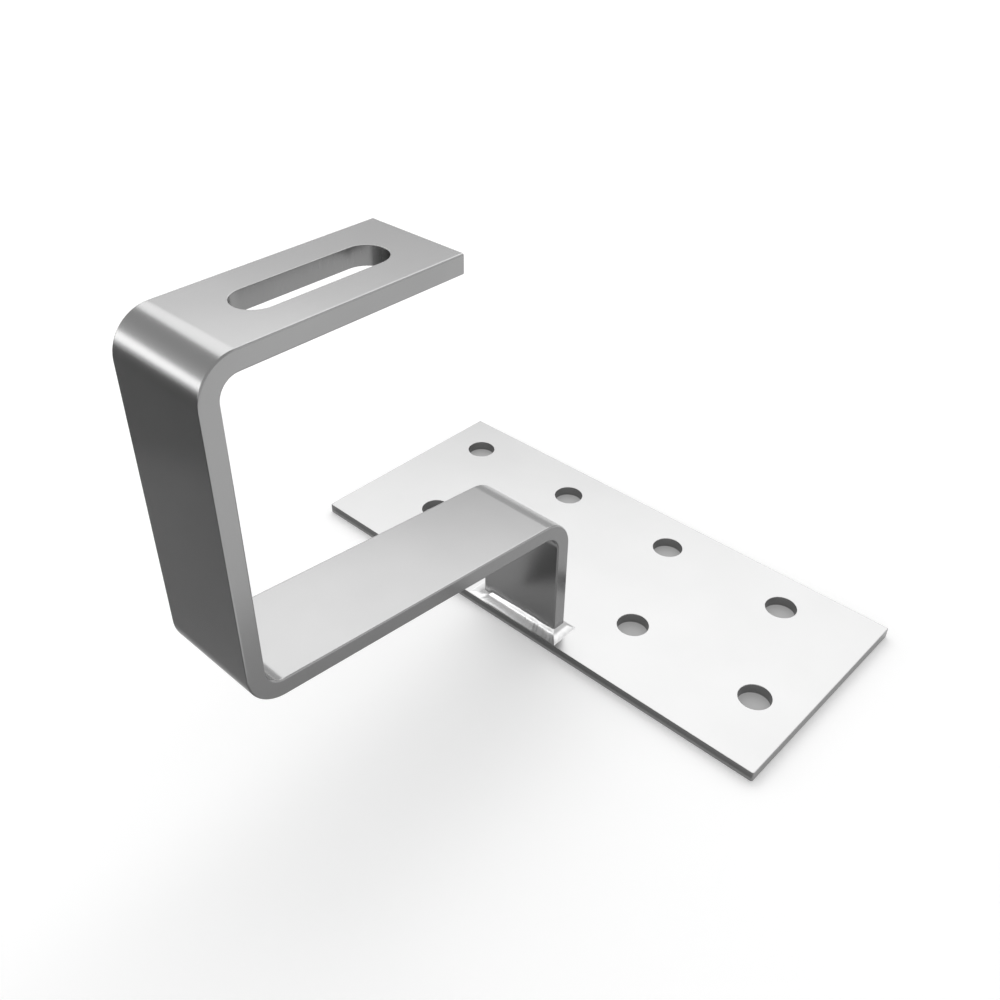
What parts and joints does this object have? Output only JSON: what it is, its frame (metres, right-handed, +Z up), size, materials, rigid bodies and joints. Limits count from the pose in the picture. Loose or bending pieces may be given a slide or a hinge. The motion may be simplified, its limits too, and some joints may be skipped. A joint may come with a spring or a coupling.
{
  "type": "solar tile roof hook",
  "caption": "Steel roof hook for a tiled roof: a bent flat bar welded upright to a screw plate with staggered holes, its free end slotted for a rail bolt.",
  "frame": {"origin": "centre of the base plate's underside", "axes": "+Z up and square to the plate, +X along the plate's long side, the hook reaches out towards -Y"},
  "size_m": [0.18, 0.185, 0.144],
  "materials": {
    "plate_steel": "mill-finished stainless sheet, satin and bright",
    "bar_steel": "rolled stainless flat bar, blasted to an even satin grey",
    "weld_metal": "bright, lightly rippled weld metal"
  },
  "bodies": {
    "root": {"base_plate": "plate_steel", "hook_bar": "bar_steel", "weld_bead": "weld_metal"}
  },
  "joints": []
}
